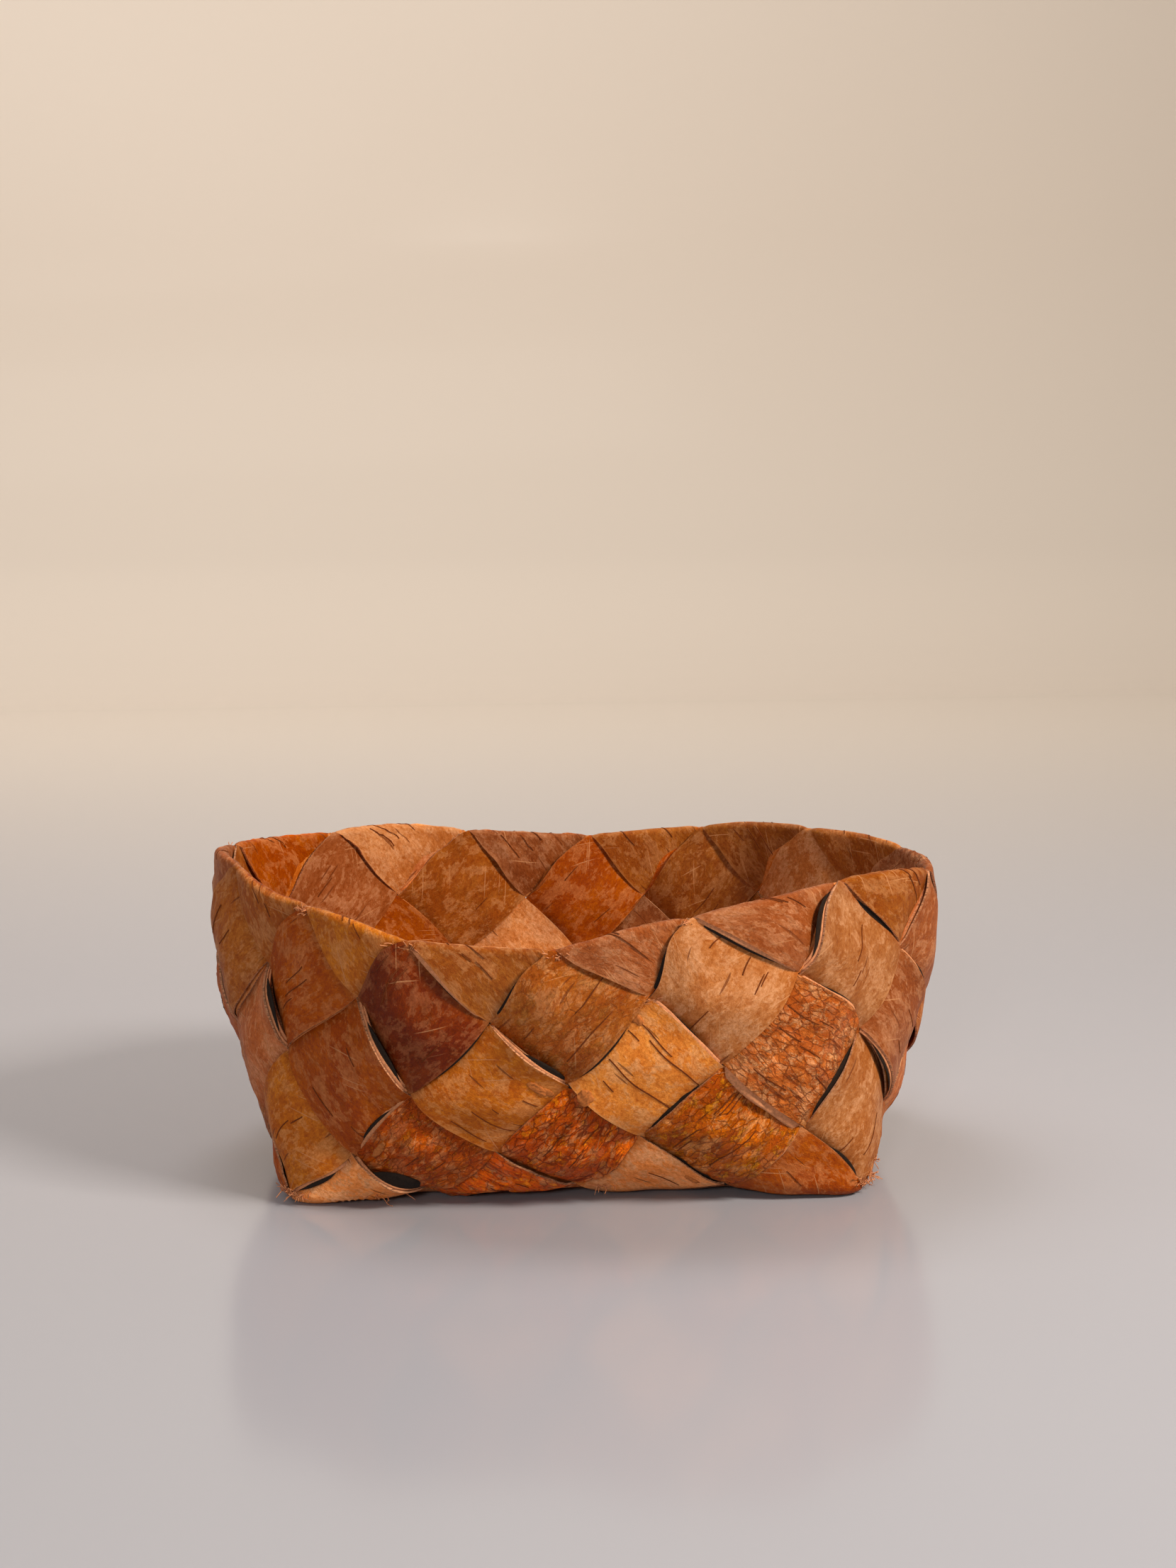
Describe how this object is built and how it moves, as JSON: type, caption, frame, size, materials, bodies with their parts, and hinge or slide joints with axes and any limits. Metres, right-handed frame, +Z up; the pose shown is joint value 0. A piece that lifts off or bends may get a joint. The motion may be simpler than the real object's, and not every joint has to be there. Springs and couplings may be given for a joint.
{
  "type": "birch bark box",
  "caption": "Open box plaited on the diagonal from wide strips of birch bark, with a flat base, flaring bowed walls and a folded rim.",
  "frame": {"origin": "middle of the base, on the surface that the box stands on", "axes": "+X along the long way of the box, -Y to its front, +Z up"},
  "size_m": [0.2628, 0.1986, 0.1131],
  "materials": {
    "bark_red_brown": "satin",
    "bark_dark_brown": "satin",
    "bark_olive_brown": "satin",
    "bark_pink_brown": "satin",
    "bark_tan": "satin"
  },
  "bodies": {
    "root": {"strip_to_back_left_1": "bark_red_brown", "strip_to_back_left_2": "bark_pink_brown", "strip_to_back_left_3": "bark_tan", "strip_to_back_left_4": "bark_pink_brown", "strip_to_back_left_5": "bark_olive_brown", "strip_to_back_left_6": "bark_olive_brown", "strip_to_back_left_7": "bark_pink_brown", "strip_to_back_right_1": "bark_tan", "strip_to_back_right_2": "bark_tan", "strip_to_back_right_3": "bark_tan", "strip_to_back_right_4": "bark_dark_brown", "strip_to_back_right_5": "bark_tan", "strip_to_back_right_6": "bark_tan", "strip_to_back_right_7": "bark_tan"}
  },
  "joints": []
}
